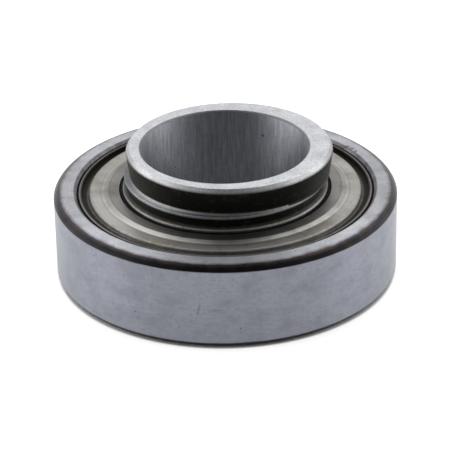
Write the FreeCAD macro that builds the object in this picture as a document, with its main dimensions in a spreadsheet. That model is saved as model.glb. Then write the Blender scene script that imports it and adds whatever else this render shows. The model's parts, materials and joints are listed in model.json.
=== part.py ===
import FreeCAD, Part
import Sketcher
import math
import os
import re

# A sealed ball bearing whose inner ring is longer at the top and ends there in an eccentric cam.
# The frame: Z is the axis of the bore, and the origin is on it at the outer ring's bottom face.

# Driving dimensions in millimetres, with angles in degrees.
driving = {
    # The bore, then what lies between it and the outside: a wall, a ball and a wall.
    "bore_diameter": 30.0,
    "inner_race_wall": 3.2075,
    "ball_diameter": 9.525,
    "outer_race_wall": 3.2075,
    "ball_count": 9,
    "ball_clearance": 0.03,
    "outer_groove_relief": 0.24,
    "inner_groove_relief": 0.17,
    "outer_shoulder_height": 1.7925,
    "inner_shoulder_height": 1.8925,
    # The outer ring's corners, and the mouth and groove that hold a seal.
    "corner_radial": 1.75,
    "corner_axial": 1.05,
    "mouth_chamfer": 0.45,
    "seat_breadth": 1.2,
    "groove_depth": 0.35,
    # The inner ring's seal lands, neck, ledge and cam.
    "inner_ring_inset": 0.1,
    "shoulder_gap": 1.05,
    "land_step": 1.6,
    "land_overrun": 0.25,
    "end_chamfer": 0.25,
    "bore_chamfer": 0.3,
    "neck_inset": 0.65,
    "neck_start": 0.6,
    "neck_length": 1.45,
    "ledge_inset": 0.3,
    "ledge_height": 0.55,
    "ledge_chamfer": 0.25,
    "cam_height": 5.05,
    "cam_reach": 0.1,
    "cam_undercut": 0.55,
    "cam_offset": 1.0,
    "cam_angle": 33.0,
    "cam_chamfer_radial": 0.65,
    "cam_chamfer_axial": 0.85,
    # The cage and its rivets.
    "cage_sheet": 0.55,
    "cage_end_gap": 0.7375,
    "cage_half_breadth": 1.6,
    "pocket_clearance": 0.1,
    "rivet_radius": 0.75,
    "rivet_hole_clearance": 0.02,
    "rivet_head_radius": 1.25,
    "rivet_head_height": 0.45,
    # The seals, with drops measured down from the outer ring's face.
    "channel_drop": 1.1,
    "cap_sheet": 0.45,
    "washer_sheet": 0.3,
    "foot_clearance": 0.05,
    "rim_clearance": 0.3,
    "rim_breadth": 0.65,
    "rim_drop": 0.4,
    "rim_round": 0.15,
    "channel_breadth": 1.1,
    "channel_draft": 0.1,
    "step_draft": 0.15,
    "step_round": 0.3,
    "shield_drop": 0.4,
    "rise_outer_reach": 3.4,
    "rise_inner_reach": 2.5,
    "rise_crown": 0.07,
    "inner_zone_drop": 0.05,
    "shield_gap": 0.6,
    "lip_clearance": 0.05,
    "lip_tip": 0.3,
    "lip_rise": 0.3,
    "lip_side_gap": 0.05,
    "anchor_gap": 0.475,
    "washer_gap": 1.0,
}

# Sizes that follow from the driving ones.
worked_out = {
    "bore_radius": "bore_diameter / 2",
    "ball_radius": "ball_diameter / 2",
    "inner_race_radius": "bore_radius + inner_race_wall",
    "pitch_radius": "inner_race_radius + ball_clearance + ball_radius",
    "outer_race_radius": "pitch_radius + ball_radius + ball_clearance",
    "outside_radius": "outer_race_radius + outer_race_wall",
    "outer_groove_radius": "ball_radius + outer_groove_relief",
    "inner_groove_radius": "ball_radius + inner_groove_relief",
    "outer_shoulder_radius": "outer_race_radius - outer_shoulder_height",
    "inner_shoulder_radius": "inner_race_radius + inner_shoulder_height",
    "seat_depth": "channel_drop + cap_sheet + washer_sheet",
    "middle_height": "seat_depth + cage_end_gap + dome_radius",
    "outer_ring_width": "2 * middle_height",
    "seal_groove_radius": "outer_shoulder_radius + seat_breadth",
    "corner_size": "(corner_radial * corner_radial + corner_axial * corner_axial) / (2 * corner_axial)",
    "corner_sag": "corner_size - sqrt(corner_size * corner_size - corner_radial * corner_radial / 4)",
    "mouth_radius": "seal_groove_radius - groove_depth",
    "mouth_depth": "channel_drop - foot_clearance",
    "land_radius": "inner_shoulder_radius - land_step",
    "land_depth": "seat_depth + shoulder_gap",
    "land_top": "outer_ring_width + land_overrun",
    "neck_low": "land_top + neck_start",
    "neck_high": "neck_low + neck_length",
    "neck_radius": "land_radius - neck_inset",
    "ledge_radius": "land_radius - ledge_inset",
    "ledge_top": "neck_high + ledge_height",
    "inner_ring_top": "ledge_top + cam_height",
    "cam_radius": "land_radius + cam_reach",
    "cam_edge_height": "inner_ring_top - cam_chamfer_axial",
    "pocket_radius": "ball_radius + pocket_clearance",
    "dome_radius": "pocket_radius + cage_sheet",
    "seat_height": "outer_ring_width - seat_depth",
    "cap_low": "seat_height + washer_sheet",
    "channel_floor": "cap_low + cap_sheet",
    "foot_radius": "seal_groove_radius - foot_clearance",
    "rim_radius": "mouth_radius - rim_clearance",
    "rim_inner_radius": "rim_radius - rim_breadth",
    "rim_top": "outer_ring_width - rim_drop",
    "channel_outer_radius": "rim_inner_radius - channel_draft",
    "channel_inner_radius": "channel_outer_radius - channel_breadth",
    "step_radius": "channel_inner_radius - step_draft",
    "shield_top": "outer_ring_width - shield_drop",
    "shield_edge_radius": "land_radius + shield_gap",
    "inner_zone_top": "outer_ring_width - inner_zone_drop",
    "rise_outer_radius": "land_radius + rise_outer_reach",
    "rise_inner_radius": "land_radius + rise_inner_reach",
    "rise_radius": "(rise_outer_radius + rise_inner_radius) / 2",
    "rise_height": "inner_zone_top - rise_crown",
    "lip_radius": "land_radius + lip_clearance",
    "lip_low": "inner_zone_top - cap_sheet",
    "lip_top": "lip_low + lip_rise",
    "anchor_top": "shield_top - cap_sheet - lip_side_gap",
    "anchor_radius": "step_radius - step_round - cap_sheet / 2 - anchor_gap",
}

words = re.compile(r"[a-z]+(?:_[a-z]+)+")


def in_sizes(text):
    """The text as an expression on the sheet's own cells, with every worked-out name opened up."""
    def open_up(found):
        name = found.group(0)
        if name in worked_out:
            return "(" + in_sizes(worked_out[name]) + ")"
        return "Sizes." + name
    return words.sub(open_up, text)


def value_of(text):
    number = sheet.evalExpression(in_sizes(text))
    return float(getattr(number, "Value", number))


def bind(thing, **texts):
    """Ties properties to expressions; a double underscore in a name stands for a dot."""
    for name, text in texts.items():
        thing.setExpression(name.replace("__", "."), in_sizes(text))


def make_sheet():
    cells = doc.addObject("Spreadsheet::Sheet", "Sizes")
    for row, (alias, number) in enumerate(driving.items(), start=1):
        cells.set(f"A{row}", alias)
        cells.set(f"B{row}", str(number))
        cells.setAlias(f"B{row}", alias)
    doc.recompute()
    return cells


def origin_part(body, role):
    return next(item for item in body.Origin.OriginFeatures if item.Role == role)


def new_sketch(body, name):
    """An empty sketch in the X-Z plane, where every outline here is drawn."""
    sketch = body.newObject("Sketcher::SketchObject", name)
    sketch.AttachmentSupport = [(origin_part(body, "XZ_Plane"), "")]
    sketch.MapMode = "FlatFace"
    return sketch


def dimension(sketch, text, kind, *where):
    """Adds a dimension to a sketch and ties it to an expression."""
    row = sketch.addConstraint(Sketcher.Constraint(kind, *where, value_of(text)))
    sketch.setExpression(f"Constraints[{row}]", in_sizes(text))


def pin(sketch, geometry, end, corner):
    """Holds one point of a sketch at a corner's radius and height."""
    dimension(sketch, corner[0], "DistanceX", -1, 1, geometry, end)
    dimension(sketch, corner[1], "DistanceY", -1, 1, geometry, end)


def arc_edge(sketch, start, via, end):
    """An arc from start to end that passes through via. Returns it with the numbers of its two ends."""
    round_through = Part.Circle(start, via, end)
    centre = round_through.Center
    forward = (via - start).cross(end - start).z > 0
    ends = (start, end) if forward else (end, start)
    angles = [math.atan2((point - centre).y, (point - centre).x) for point in ends]
    circle = Part.Circle(centre, FreeCAD.Vector(0, 0, 1), round_through.Radius)
    edge = sketch.addGeometry(Part.ArcOfCircle(circle, *angles))
    return (edge, 1, 2) if forward else (edge, 2, 1)


def half_section(body, name, corners):
    """A closed outline in the X-Z plane. A corner is a radius and a height.

    A third word, "arc", makes it the point that an arc passes through between its neighbours.
    """
    sketch = new_sketch(body, name)
    points = [FreeCAD.Vector(value_of(corner[0]), value_of(corner[1]), 0) for corner in corners]
    ends = [at for at, corner in enumerate(corners) if len(corner) == 2]
    edges = []
    for here, after in zip(ends, ends[1:] + ends[:1]):
        if (after - here) % len(corners) == 2:
            via = (here + 1) % len(corners)
            edge = arc_edge(sketch, points[here], points[via], points[after])
            mark = sketch.addGeometry(Part.Point(points[via]), True)
            sketch.addConstraint(Sketcher.Constraint("PointOnObject", mark, 1, edge[0]))
            pin(sketch, mark, 1, corners[via])
        else:
            edge = (sketch.addGeometry(Part.LineSegment(points[here], points[after])), 1, 2)
        pin(sketch, edge[0], edge[1], corners[here])
        edges.append(edge)
    for (edge, _, end), (following, start, _) in zip(edges, edges[1:] + edges[:1]):
        sketch.addConstraint(Sketcher.Constraint("Coincident", edge, end, following, start))
    return sketch


def circle_section(body, name, radius, height, size):
    """A circle in the X-Z plane, its centre given by a radius and a height."""
    sketch = new_sketch(body, name)
    centre = FreeCAD.Vector(value_of(radius), value_of(height), 0)
    ring = sketch.addGeometry(Part.Circle(centre, FreeCAD.Vector(0, 0, 1), value_of(size)))
    pin(sketch, ring, 3, (radius, height))
    dimension(sketch, size, "Radius", ring)
    return sketch


def spin(body, kind, name, sketch, axis="V_Axis"):
    """A full turn of a sketch about an axis of its own: added as a Revolution, cut as a Groove."""
    turned = body.newObject("PartDesign::" + kind, name)
    turned.Profile = sketch
    turned.ReferenceAxis = (sketch, [axis])
    turned.Angle = 360.0
    sketch.Visibility = False
    before = body.Shape.Volume if kind == "Groove" else 0.0
    doc.recompute()
    if kind == "Groove" and not turned.Shape.Volume < before:
        raise ValueError(f"{body.Label}: {name} cuts nothing")
    return turned


def turned_piece(label, corners):
    body = doc.addObject("PartDesign::Body", label)
    body.Label = label
    spin(body, "Revolution", "turned", half_section(body, "outline", corners))
    return body


def outer_ring():
    """Its corners are arcs that leave the faces smoothly and end in an edge on the ground outside."""
    body = turned_piece("outer_ring", [
        ("outer_shoulder_radius", "seat_depth"),
        ("seal_groove_radius", "seat_depth"),
        ("seal_groove_radius", "mouth_depth"),
        ("mouth_radius", "mouth_depth"),
        ("mouth_radius", "mouth_chamfer"),
        ("mouth_radius + mouth_chamfer", "0"),
        ("outside_radius - corner_radial", "0"),
        ("outside_radius - corner_radial / 2", "corner_sag", "arc"),
        ("outside_radius", "corner_axial"),
        ("outside_radius", "outer_ring_width - corner_axial"),
        ("outside_radius - corner_radial / 2", "outer_ring_width - corner_sag", "arc"),
        ("outside_radius - corner_radial", "outer_ring_width"),
        ("mouth_radius + mouth_chamfer", "outer_ring_width"),
        ("mouth_radius", "outer_ring_width - mouth_chamfer"),
        ("mouth_radius", "outer_ring_width - mouth_depth"),
        ("seal_groove_radius", "outer_ring_width - mouth_depth"),
        ("seal_groove_radius", "seat_height"),
        ("outer_shoulder_radius", "seat_height"),
    ])
    ground = circle_section(body, "raceway", "outer_race_radius - outer_groove_radius",
                            "middle_height", "outer_groove_radius")
    spin(body, "Groove", "raceway_groove", ground)
    return body


def inner_ring():
    body = turned_piece("inner_ring", [
        ("0", "inner_ring_inset"),
        ("land_radius - end_chamfer", "inner_ring_inset"),
        ("land_radius", "inner_ring_inset + end_chamfer"),
        ("land_radius", "land_depth"),
        ("inner_shoulder_radius", "land_depth"),
        ("inner_shoulder_radius", "outer_ring_width - land_depth"),
        ("land_radius", "outer_ring_width - land_depth"),
        ("land_radius", "land_top"),
        ("neck_radius", "neck_low"),
        ("neck_radius", "neck_high"),
        ("ledge_radius", "neck_high"),
        ("ledge_radius", "ledge_top - ledge_chamfer"),
        ("ledge_radius - ledge_chamfer", "ledge_top"),
        ("0", "ledge_top"),
    ])
    ground = circle_section(body, "raceway", "inner_race_radius + inner_groove_radius",
                            "middle_height", "inner_groove_radius")
    spin(body, "Groove", "raceway_groove", ground)
    # The cam is turned about its own centre, and its side leans in towards its foot.
    cam = half_section(body, "cam_outline", [
        ("cam_offset", "ledge_top"),
        ("cam_offset + cam_radius - cam_undercut", "ledge_top"),
        ("cam_offset + cam_radius", "cam_edge_height"),
        ("cam_offset + cam_radius - cam_chamfer_radial", "inner_ring_top"),
        ("cam_offset", "inner_ring_top"),
    ])
    centre = cam.addGeometry(Part.LineSegment(
        FreeCAD.Vector(value_of("cam_offset"), 0, 0),
        FreeCAD.Vector(value_of("cam_offset"), value_of("inner_ring_top"), 0)), True)
    pin(cam, centre, 1, ("cam_offset", "0"))
    pin(cam, centre, 2, ("cam_offset", "inner_ring_top"))
    spin(body, "Revolution", "cam", cam, "Axis0")
    bore = half_section(body, "bore_outline", [
        ("0", "inner_ring_inset"),
        ("bore_radius + bore_chamfer", "inner_ring_inset"),
        ("bore_radius", "inner_ring_inset + bore_chamfer"),
        ("bore_radius", "inner_ring_top - bore_chamfer"),
        ("bore_radius + bore_chamfer", "inner_ring_top"),
        ("0", "inner_ring_top"),
    ])
    spin(body, "Groove", "bore", bore)
    bind(body, Placement__Rotation__Angle="cam_angle * 1deg")
    return body


def solid(kind, name, **texts):
    thing = doc.addObject("Part::" + kind, name)
    bind(thing, **texts)
    return thing


def around(number):
    """Where a ball sits: the place of the given ball on the pitch circle, as two expressions."""
    turn = f"({number} * 360deg / ball_count)"
    return f"pitch_radius * cos{turn}", f"pitch_radius * sin{turn}"


def ball(number):
    across, along = around(number - 1)
    thing = solid("Sphere", f"ball_{number}", Radius="ball_radius", Placement__Base__x=across,
                  Placement__Base__y=along, Placement__Base__z="middle_height")
    thing.Label = f"ball_{number}"
    return thing


def joined(kind, name, shapes):
    thing = doc.addObject("Part::" + kind, name)
    thing.Shapes = shapes
    return thing


def cut_from(name, base, tool):
    thing = doc.addObject("Part::Cut", name)
    thing.Base = base
    thing.Tool = tool
    return thing


def cage_half(label, low, flat_low, direction):
    """One ribbon of the cage: flat strips between the balls and half domes over them.

    low is the height where its band starts, flat_low that of the flat strips; direction is upper or lower.
    """
    flat = solid("Cylinder", f"{label}_flat", Radius="pitch_radius + cage_half_breadth",
                 Height="cage_sheet", Placement__Base__z=flat_low)
    domes, pockets, holes = [], [], []
    for number in range(int(driving["ball_count"])):
        across, along = around(number)
        for size, group, word in (("dome_radius", domes, "dome"), ("pocket_radius", pockets, "pocket")):
            group.append(solid("Sphere", f"{label}_{word}_{number + 1}", Radius=size,
                               Placement__Base__x=across, Placement__Base__y=along,
                               Placement__Base__z="middle_height"))
        across, along = around(number + 0.5)
        holes.append(solid("Cylinder", f"{label}_hole_{number + 1}",
                           Radius="rivet_radius + rivet_hole_clearance", Height="outer_ring_width",
                           Placement__Base__x=across, Placement__Base__y=along))
    outer = solid("Cylinder", f"{label}_outside", Radius="pitch_radius + cage_half_breadth",
                  Height="dome_radius", Placement__Base__z=low)
    inner = solid("Cylinder", f"{label}_inside", Radius="pitch_radius - cage_half_breadth",
                  Height="dome_radius", Placement__Base__z=low)
    band = cut_from(f"{label}_band", outer, inner)
    blank = joined("MultiFuse", f"{label}_blank", [flat] + domes)
    strip = joined("MultiCommon", f"{label}_strip", [blank, band])
    openings = joined("MultiFuse", f"{label}_openings", pockets + holes)
    half = cut_from(f"cage_{direction}_half", strip, openings)
    half.Label = f"cage_{direction}_half"
    return half


def cage_rivets():
    rivets = []
    for number in range(int(driving["ball_count"])):
        across, along = around(number + 0.5)
        place = {"Placement__Base__x": across, "Placement__Base__y": along}
        name = f"rivet_{number + 1}"
        shank = solid("Cylinder", f"{name}_shank", Radius="rivet_radius", Height="2 * cage_sheet",
                      Placement__Base__z="middle_height - cage_sheet", **place)
        upper = solid("Cone", f"{name}_upper_head", Radius1="rivet_head_radius", Radius2="rivet_radius",
                      Height="rivet_head_height",
                      Placement__Base__z="middle_height + cage_sheet", **place)
        lower = solid("Cone", f"{name}_lower_head", Radius1="rivet_radius", Radius2="rivet_head_radius",
                      Height="rivet_head_height",
                      Placement__Base__z="middle_height - cage_sheet - rivet_head_height", **place)
        rivets.append(joined("MultiFuse", name, [shank, upper, lower]))
    group = doc.addObject("Part::Compound", "cage_rivets")
    group.Links = rivets
    group.Label = "cage_rivets"
    return group


def on_side(body, side):
    """Leaves an upper piece where it is, and turns a lower one over to the ring's other face."""
    if side == "lower":
        body.Placement = FreeCAD.Placement(FreeCAD.Vector(0, 0, 0),
                                           FreeCAD.Rotation(FreeCAD.Vector(1, 0, 0), 180))
        bind(body, Placement__Base__z="outer_ring_width")
    return body


def seal_cap(side):
    """The outer washer: a foot in the ring's groove, a crimped rim, a channel and the stepped shield."""
    return on_side(turned_piece(f"{side}_seal_cap", [
        ("foot_radius", "cap_low"),
        ("foot_radius", "channel_floor"),
        ("rim_radius", "channel_floor"),
        ("rim_radius", "rim_top - rim_round"),
        ("rim_radius - rim_round", "rim_top"),
        ("rim_inner_radius + rim_round", "rim_top"),
        ("rim_inner_radius", "rim_top - rim_round"),
        ("channel_outer_radius", "channel_floor"),
        ("channel_inner_radius", "channel_floor"),
        ("step_radius", "shield_top - step_round"),
        ("step_radius - step_round", "shield_top"),
        ("rise_outer_radius", "shield_top"),
        ("rise_radius", "rise_height", "arc"),
        ("rise_inner_radius", "inner_zone_top"),
        ("shield_edge_radius", "inner_zone_top"),
        ("shield_edge_radius", "inner_zone_top - cap_sheet"),
        ("rise_inner_radius", "inner_zone_top - cap_sheet"),
        ("rise_radius", "rise_height - cap_sheet", "arc"),
        ("rise_outer_radius", "shield_top - cap_sheet"),
        ("step_radius - step_round - cap_sheet / 2", "shield_top - cap_sheet"),
        ("channel_inner_radius - cap_sheet", "cap_low"),
    ]), side)


def seal_lip(side):
    """The rubber between cap and washer, with a lip that runs on the inner ring's land."""
    return on_side(turned_piece(f"{side}_seal_lip", [
        ("shield_edge_radius + washer_gap / 2", "cap_low"),
        ("anchor_radius", "cap_low"),
        ("anchor_radius", "anchor_top"),
        ("shield_edge_radius - lip_side_gap", "anchor_top"),
        ("shield_edge_radius - 3 * lip_side_gap", "lip_top"),
        ("lip_radius", "lip_top"),
        ("lip_radius", "lip_top - lip_tip"),
    ]), side)


def seal_washer(side):
    """The inner washer, which seats on the outer ring's step and backs the rubber."""
    return on_side(turned_piece(f"{side}_seal_washer", [
        ("shield_edge_radius + washer_gap", "seat_height"),
        ("foot_radius", "seat_height"),
        ("foot_radius", "cap_low"),
        ("shield_edge_radius + washer_gap", "cap_low"),
    ]), side)


def check(pieces):
    doc.recompute()
    for thing in doc.Objects:
        if "Invalid" in thing.State or "Error" in thing.State:
            raise ValueError(f"{thing.Label} failed: {thing.State}")
    for piece in pieces:
        if piece.Shape.isNull() or not piece.Shape.isValid():
            raise ValueError(f"{piece.Label} has no valid shape")


doc = FreeCAD.newDocument("bearing")
sheet = make_sheet()
pieces = [outer_ring(), inner_ring()]
pieces += [ball(number + 1) for number in range(int(driving["ball_count"]))]
pieces.append(cage_half("above", "middle_height", "middle_height", "upper"))
pieces.append(cage_half("below", "middle_height - dome_radius", "middle_height - cage_sheet", "lower"))
pieces.append(cage_rivets())
for side in ("upper", "lower"):
    pieces += [seal_cap(side), seal_lip(side), seal_washer(side)]
check(pieces)

os.makedirs("parts", exist_ok=True)
for piece in pieces:
    piece.Shape.exportStep(f"parts/{piece.Label}.step")
    print(f"{piece.Label}: {len(piece.Shape.Solids)} solids, {piece.Shape.Volume:.1f} mm3")
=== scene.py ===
import json
import math
import bpy
import numpy as np
from mathutils import Matrix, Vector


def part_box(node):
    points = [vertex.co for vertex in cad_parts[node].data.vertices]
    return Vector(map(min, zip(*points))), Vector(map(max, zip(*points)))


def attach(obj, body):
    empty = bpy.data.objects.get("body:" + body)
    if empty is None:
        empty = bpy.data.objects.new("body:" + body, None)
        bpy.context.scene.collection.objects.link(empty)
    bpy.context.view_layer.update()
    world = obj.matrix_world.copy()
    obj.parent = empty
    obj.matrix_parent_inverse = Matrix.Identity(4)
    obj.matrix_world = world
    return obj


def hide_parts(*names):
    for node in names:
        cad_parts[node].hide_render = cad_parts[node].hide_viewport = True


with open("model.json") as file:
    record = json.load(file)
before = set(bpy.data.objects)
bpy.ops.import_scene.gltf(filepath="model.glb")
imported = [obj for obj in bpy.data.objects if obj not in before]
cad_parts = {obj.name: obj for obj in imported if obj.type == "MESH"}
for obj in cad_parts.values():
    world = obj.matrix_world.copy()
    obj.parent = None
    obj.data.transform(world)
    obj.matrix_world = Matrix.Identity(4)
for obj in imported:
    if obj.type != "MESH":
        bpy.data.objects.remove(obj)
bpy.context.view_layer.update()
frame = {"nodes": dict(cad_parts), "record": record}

# A sealed ball bearing with an eccentric cam, seen as it lies on a white table.
# Sizes in the dictionaries are in millimetres and angles in degrees unless a note says otherwise.

mm = 0.001  # one millimetre in metres
boreMount = next(mount for mount in frame["record"]["mounts"] if mount["name"] == "bore")
boreRadius = boreMount["dims"]["r_mm"]
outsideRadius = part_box("outer_ring")[1].x / mm
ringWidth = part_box("outer_ring")[1].z / mm
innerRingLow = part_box("inner_ring")[0].z / mm
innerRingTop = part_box("inner_ring")[1].z / mm


def linear(hexColour):
    # one sRGB hex colour as linear red, green, blue and alpha
    parts = [int(hexColour[at:at + 2], 16) / 255 for at in (1, 3, 5)]
    return tuple(part / 12.92 if part <= 0.04045 else ((part + 0.055) / 1.055) ** 2.4
                 for part in parts) + (1.0,)


def addNode(tree, kind, inputs=None, **settings):
    # Adds a node with its settings. An input is a number, a colour or a link: from an output, or from a
    # node, which then gives its first output in use.
    made = tree.nodes.new(kind)
    for name, value in settings.items():
        setattr(made, name, value)
    for name, value in (inputs or {}).items():
        named = [socket for socket in made.inputs if socket.enabled and socket.name == name]
        socket = named[0] if named else made.inputs[name]
        if isinstance(value, bpy.types.Node):
            value = next(output for output in value.outputs if output.enabled)
        if isinstance(value, bpy.types.NodeSocket):
            tree.links.new(value, socket)
        else:
            socket.default_value = value
    return made


# Camera, table and backdrop

# lens and sensor in millimetres, the clip distances in metres
cameraView = {"distance": 420.0, "elevation": 28.42, "pitch": 27.49, "roll": -1.08,
              "lens": 182.0, "sensor": 36.0, "clipStart": 0.01, "clipEnd": 50.0}


def makeCamera():
    cameraData = bpy.data.cameras.new("productCamera")
    cameraData.lens = cameraView["lens"]
    cameraData.sensor_width = cameraView["sensor"]
    cameraData.clip_start = cameraView["clipStart"]
    cameraData.clip_end = cameraView["clipEnd"]
    camera = bpy.data.objects.new("productCamera", cameraData)
    bpy.context.scene.collection.objects.link(camera)
    rise = math.radians(cameraView["elevation"])
    distance = cameraView["distance"] * mm
    pitch = Matrix.Rotation(math.radians(90 - cameraView["pitch"]), 4, "X")
    roll = Matrix.Rotation(math.radians(cameraView["roll"]), 4, "Z")
    place = Matrix.Translation((0, -distance * math.cos(rise), distance * math.sin(rise)))
    camera.matrix_world = place @ pitch @ roll
    bpy.context.scene.camera = camera


# The glow starts and is whole at two distances from the axis. tentTop and cameraSideEnds are parts of the
# direction, from -1 to 1, and the levels are strengths, where 1 is white.
backdrop = {
    "tableColour": "#e6e6e6", "tableHalf": 3000.0, "tableGlow": 0.6, "glowStarts": (30.6, 31.1),
    "tent": 1.0, "tentTop": (0.8, 0.97), "ceiling": 0.12, "cameraSide": 0.12, "cameraSideEnds": (-0.8, -0.3),
}


def makeTable():
    # White paper of one colour. The glow that whitens it for the camera and in the metal starts outside the
    # ring, so that the shade under the ring and in its bore is kept.
    half = backdrop["tableHalf"] * mm
    mesh = bpy.data.meshes.new("tableTop")
    corners = [(-half, -half, 0), (half, -half, 0), (half, half, 0), (-half, half, 0)]
    mesh.from_pydata(corners, [], [(0, 1, 2, 3)])
    table = bpy.data.objects.new("tableTop", mesh)
    bpy.context.scene.collection.objects.link(table)
    material, tree = newMaterial("whitePaper")
    rays = addNode(tree, "ShaderNodeLightPath")
    seen = addNode(tree, "ShaderNodeMath", {0: rays.outputs["Is Camera Ray"],
                                            1: rays.outputs["Is Glossy Ray"]}, operation="MAXIMUM")
    seen = addNode(tree, "ShaderNodeMath", {0: seen, 1: rays.outputs["Is Transmission Ray"]},
                   operation="MAXIMUM")
    place = addNode(tree, "ShaderNodeTexCoord")
    reach = addNode(tree, "ShaderNodeVectorMath", {0: place.outputs["Object"]}, operation="LENGTH")
    none, whole = backdrop["glowStarts"]
    outside = addNode(tree, "ShaderNodeMapRange", {
        "Value": reach, "From Min": none * mm, "From Max": whole * mm, "To Max": backdrop["tableGlow"]})
    glow = addNode(tree, "ShaderNodeMath", {0: seen, 1: outside}, operation="MULTIPLY")
    paper = addNode(tree, "ShaderNodeBsdfDiffuse", {"Color": linear(backdrop["tableColour"])})
    light = addNode(tree, "ShaderNodeEmission", {"Strength": glow})
    both = addNode(tree, "ShaderNodeAddShader", {0: paper, 1: light})
    addNode(tree, "ShaderNodeOutputMaterial", {"Surface": both})
    mesh.materials.append(material)


def makeWorld():
    # A white tent round the table, dim at the ceiling and on the camera's side. The camera itself sees white.
    world = bpy.data.worlds.new("whiteTent")
    world.use_nodes = True
    tree = world.node_tree
    tree.nodes.clear()
    rays = addNode(tree, "ShaderNodeLightPath")
    place = addNode(tree, "ShaderNodeTexCoord")
    parts = addNode(tree, "ShaderNodeSeparateXYZ", {0: place.outputs["Generated"]})
    wallEnd, ceilingStart = backdrop["tentTop"]
    walls = addNode(tree, "ShaderNodeMapRange", {
        "Value": parts.outputs["Z"], "From Min": wallEnd, "From Max": ceilingStart,
        "To Min": backdrop["tent"], "To Max": backdrop["ceiling"]}, interpolation_type="SMOOTHSTEP")
    dimEnd, brightStart = backdrop["cameraSideEnds"]
    side = addNode(tree, "ShaderNodeMapRange", {
        "Value": parts.outputs["Y"], "From Min": dimEnd, "From Max": brightStart,
        "To Min": backdrop["cameraSide"]}, interpolation_type="SMOOTHSTEP")
    level = addNode(tree, "ShaderNodeMath", {0: walls, 1: side}, operation="MULTIPLY")
    tent = addNode(tree, "ShaderNodeBackground", {"Color": (1, 1, 1, 1), "Strength": level})
    white = addNode(tree, "ShaderNodeBackground", {"Color": (1, 1, 1, 1), "Strength": 1.0})
    choice = addNode(tree, "ShaderNodeMixShader", {0: rays.outputs["Is Camera Ray"], 1: tent, 2: white})
    addNode(tree, "ShaderNodeOutputWorld", {"Surface": choice})
    bpy.context.scene.world = world


# places and sizes in metres, power in watts
softboxes = [
    {"name": "leftSoftbox", "place": (-0.5, 0.02, 0.16), "size": (0.55, 0.35), "power": 1.15},
    {"name": "rightSoftbox", "place": (0.5, 0.08, 0.16), "size": (0.5, 0.35), "power": 0.9},
    {"name": "leftOverhead", "place": (-0.2, 0.3, 0.5), "size": (0.22, 0.3), "power": 0.4},
    {"name": "rightOverhead", "place": (0.2, 0.3, 0.5), "size": (0.22, 0.3), "power": 0.4},
]


def makeLamps():
    for box in softboxes:
        lampData = bpy.data.lights.new(box["name"], "AREA")
        lampData.shape = "RECTANGLE"
        lampData.size, lampData.size_y = box["size"]
        lampData.energy = box["power"]
        lamp = bpy.data.objects.new(box["name"], lampData)
        bpy.context.scene.collection.objects.link(lamp)
        lamp.location = box["place"]
        lamp.rotation_euler = (-lamp.location).to_track_quat("-Z", "Y").to_euler()


def newMaterial(name):
    material = bpy.data.materials.new(name)
    material.use_nodes = True
    material.node_tree.nodes.clear()
    return material, material.node_tree


bpy.context.scene.view_settings.view_transform = "Standard"
makeCamera()
makeTable()
makeWorld()
makeLamps()
print("camera, table and lamps are set")


# Patterns that the finishes are made of

def inMillimetres(tree):
    # the place on the piece, in millimetres, so that a noise of scale 2 has marks half a millimetre across
    place = addNode(tree, "ShaderNodeTexCoord")
    return addNode(tree, "ShaderNodeVectorMath", {0: place.outputs["Object"], "Scale": 1 / mm},
                   operation="SCALE")


def fromAxis(tree, place):
    # the distance from the bearing's axis, as a vector's first part, so that a noise on it makes rings
    flat = addNode(tree, "ShaderNodeVectorMath", {0: place, 1: (1, 1, 0)}, operation="MULTIPLY")
    reach = addNode(tree, "ShaderNodeVectorMath", {0: flat}, operation="LENGTH")
    return addNode(tree, "ShaderNodeCombineXYZ", {"X": reach})


def laidOver(tree, pattern, span, most, colour, other):
    # the colour, with the other one over it where the pattern is strong: none at the span's start and most at
    # its end
    share = addNode(tree, "ShaderNodeMapRange", {
        "Value": pattern, "From Min": span[0], "From Max": span[1], "To Max": most})
    return addNode(tree, "ShaderNodeMix", {"Factor": share, "A": colour, "B": other}, data_type="RGBA")


def withPaintedShade(tree, colour):
    # the colour times the piece's tone of painted shade: darker where shade is painted, about 1 elsewhere
    tone = addNode(tree, "ShaderNodeAttribute", attribute_name="tone")
    return addNode(tree, "ShaderNodeVectorMath", {0: colour, "Scale": tone.outputs["Fac"]}, operation="SCALE")


def ragged(tree, place, layer, scale, reach, span):
    # one of the piece's layers, its edge broken up by a noise so that it ends unevenly and not in a line
    even = addNode(tree, "ShaderNodeAttribute", attribute_name=layer)
    grain = addNode(tree, "ShaderNodeTexNoise", {
        "Vector": place, "Scale": scale, "Detail": 4.0, "Roughness": 0.55})
    centred = addNode(tree, "ShaderNodeMath", {0: grain, 1: 0.5}, operation="SUBTRACT")
    shifted = addNode(tree, "ShaderNodeMath", {0: centred, 1: reach}, operation="MULTIPLY")
    moved = addNode(tree, "ShaderNodeMath", {0: even.outputs["Fac"], 1: shifted}, operation="ADD")
    return addNode(tree, "ShaderNodeMapRange", {"Value": moved, "From Min": span[0], "From Max": span[1]})


def pits(tree, place, spacing, size, share):
    # small round pits in a share of the cells of a scattered pattern, their radius a part of the spacing
    cells = addNode(tree, "ShaderNodeTexVoronoi", {"Vector": place, "Scale": 1 / spacing}, feature="F1")
    draw = addNode(tree, "ShaderNodeSeparateColor", {0: cells.outputs["Color"]})
    chosen = addNode(tree, "ShaderNodeMapRange", {
        "Value": draw.outputs[0], "From Min": 1 - share, "From Max": 1 - share + 0.02})
    spot = addNode(tree, "ShaderNodeMapRange", {
        "Value": cells.outputs["Distance"], "From Min": size * 0.6, "From Max": size,
        "To Min": 1.0, "To Max": 0.0})
    return addNode(tree, "ShaderNodeMath", {0: spot, 1: chosen}, operation="MULTIPLY")


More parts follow.
